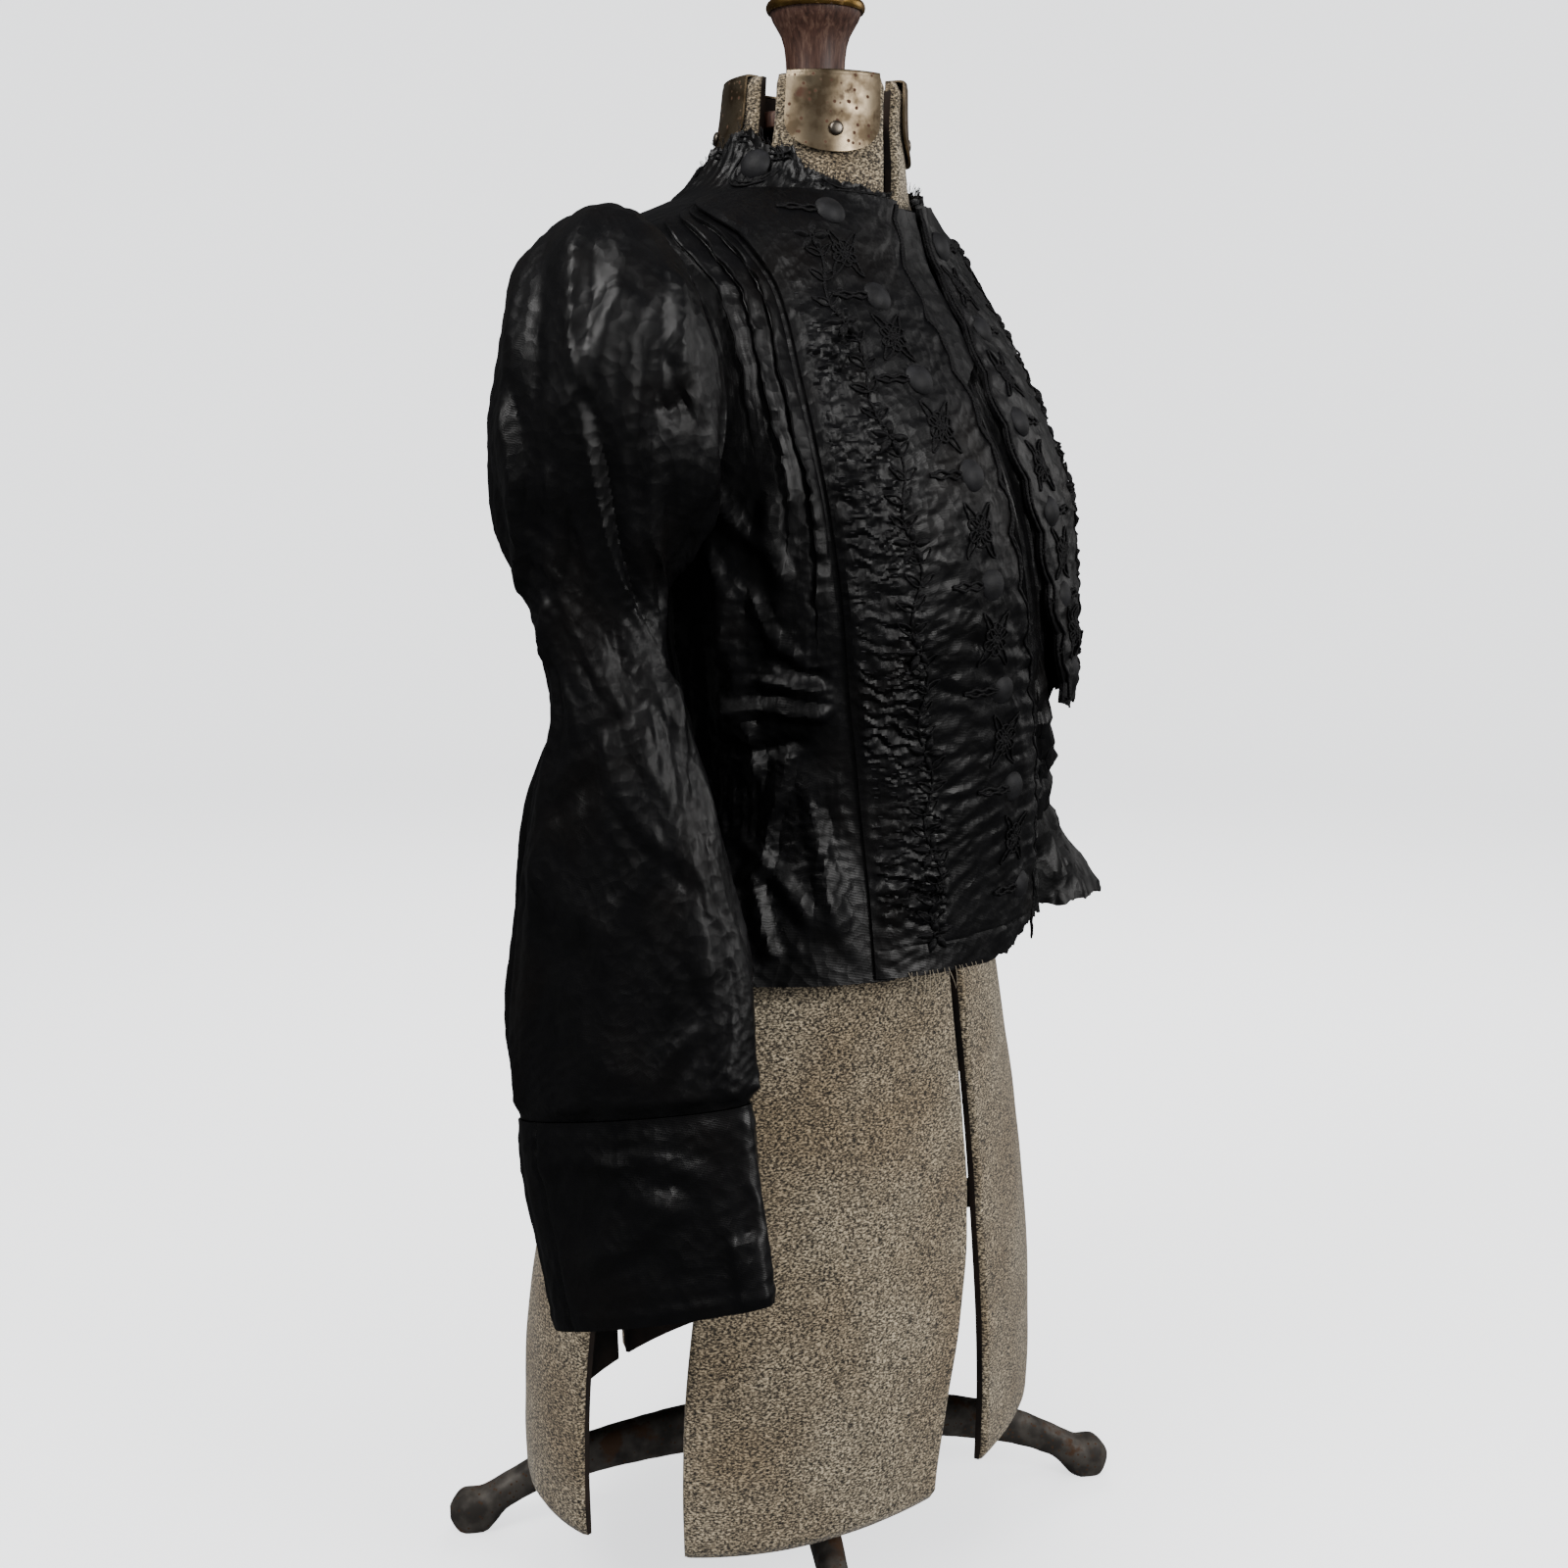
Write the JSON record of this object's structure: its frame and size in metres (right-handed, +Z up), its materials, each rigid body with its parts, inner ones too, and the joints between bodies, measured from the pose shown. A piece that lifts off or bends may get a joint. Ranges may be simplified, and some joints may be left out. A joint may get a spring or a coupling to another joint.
{
  "type": "mourning bodice on a dress form",
  "caption": "Black silk taffeta mourning bodice with full sleeves, embroidered bands and covered buttons, worn on an adjustable limbless dress form with a cast-iron stand.",
  "frame": {"origin": "middle of the whole part on the floor", "axes": "+Z up; the wearer faces -Y and the wearer's right is -X"},
  "size_m": [0.5091, 0.3533, 0.989],
  "materials": {
    "taffeta": "black silk taffeta with a soft sheen",
    "embroidered_taffeta": "black taffeta with corded and raised embroidery",
    "covered_button": "matte black cloth over a domed mould",
    "jersey": "heathered taupe knit",
    "nickel_plate": "tarnished nickel plate with rust spots",
    "steel": "dull drawn steel",
    "cast_iron": "dark casting with brown rust",
    "wood": "weathered reddish turned wood",
    "brass": "dull brass ring"
  },
  "bodies": {
    "stand": {"hub": "cast_iron", "leg_1": "cast_iron", "leg_2": "cast_iron", "leg_3": "cast_iron", "leg_4": "cast_iron", "pole": "steel", "set_collar": "cast_iron", "thumbscrew": "steel"},
    "form": {"back": "taffeta", "band_left": "embroidered_taffeta", "band_right": "embroidered_taffeta", "button_left_1": "covered_button", "button_left_2": "covered_button", "button_left_3": "covered_button", "button_left_4": "covered_button", "button_left_5": "covered_button", "button_left_6": "covered_button", "button_right_1": "covered_button", "button_right_2": "covered_button", "button_right_3": "covered_button", "button_right_4": "covered_button", "button_right_5": "covered_button", "button_right_6": "covered_button", "button_right_7": "covered_button", "button_right_8": "covered_button", "button_right_9": "covered_button", "collar": "taffeta", "cuff_left": "taffeta", "cuff_right": "taffeta", "form_back_left": "jersey", "form_back_right": "jersey", "form_front_left": "jersey", "form_front_right": "jersey", "neck_plate_back_left": "nickel_plate", "neck_plate_back_right": "nickel_plate", "neck_plate_front_left": "nickel_plate", "neck_plate_front_right": "nickel_plate", "neck_post": "wood", "post_ring": "brass", "rivet_back_left": "steel", "rivet_back_right": "steel", "rivet_front_left": "steel", "rivet_front_right": "steel", "side_front_left": "taffeta", "side_front_right": "taffeta", "sleeve_left": "taffeta", "sleeve_right": "taffeta", "spider_lower": "cast_iron", "spider_upper": "cast_iron", "vest": "taffeta", "vest_flap": "taffeta"}
  },
  "joints": [
    {"name": "height_slide", "type": "slide", "parent": "stand", "child": "form", "axis": [0, 0, 1], "range_m": [0, 0.25]}
  ]
}
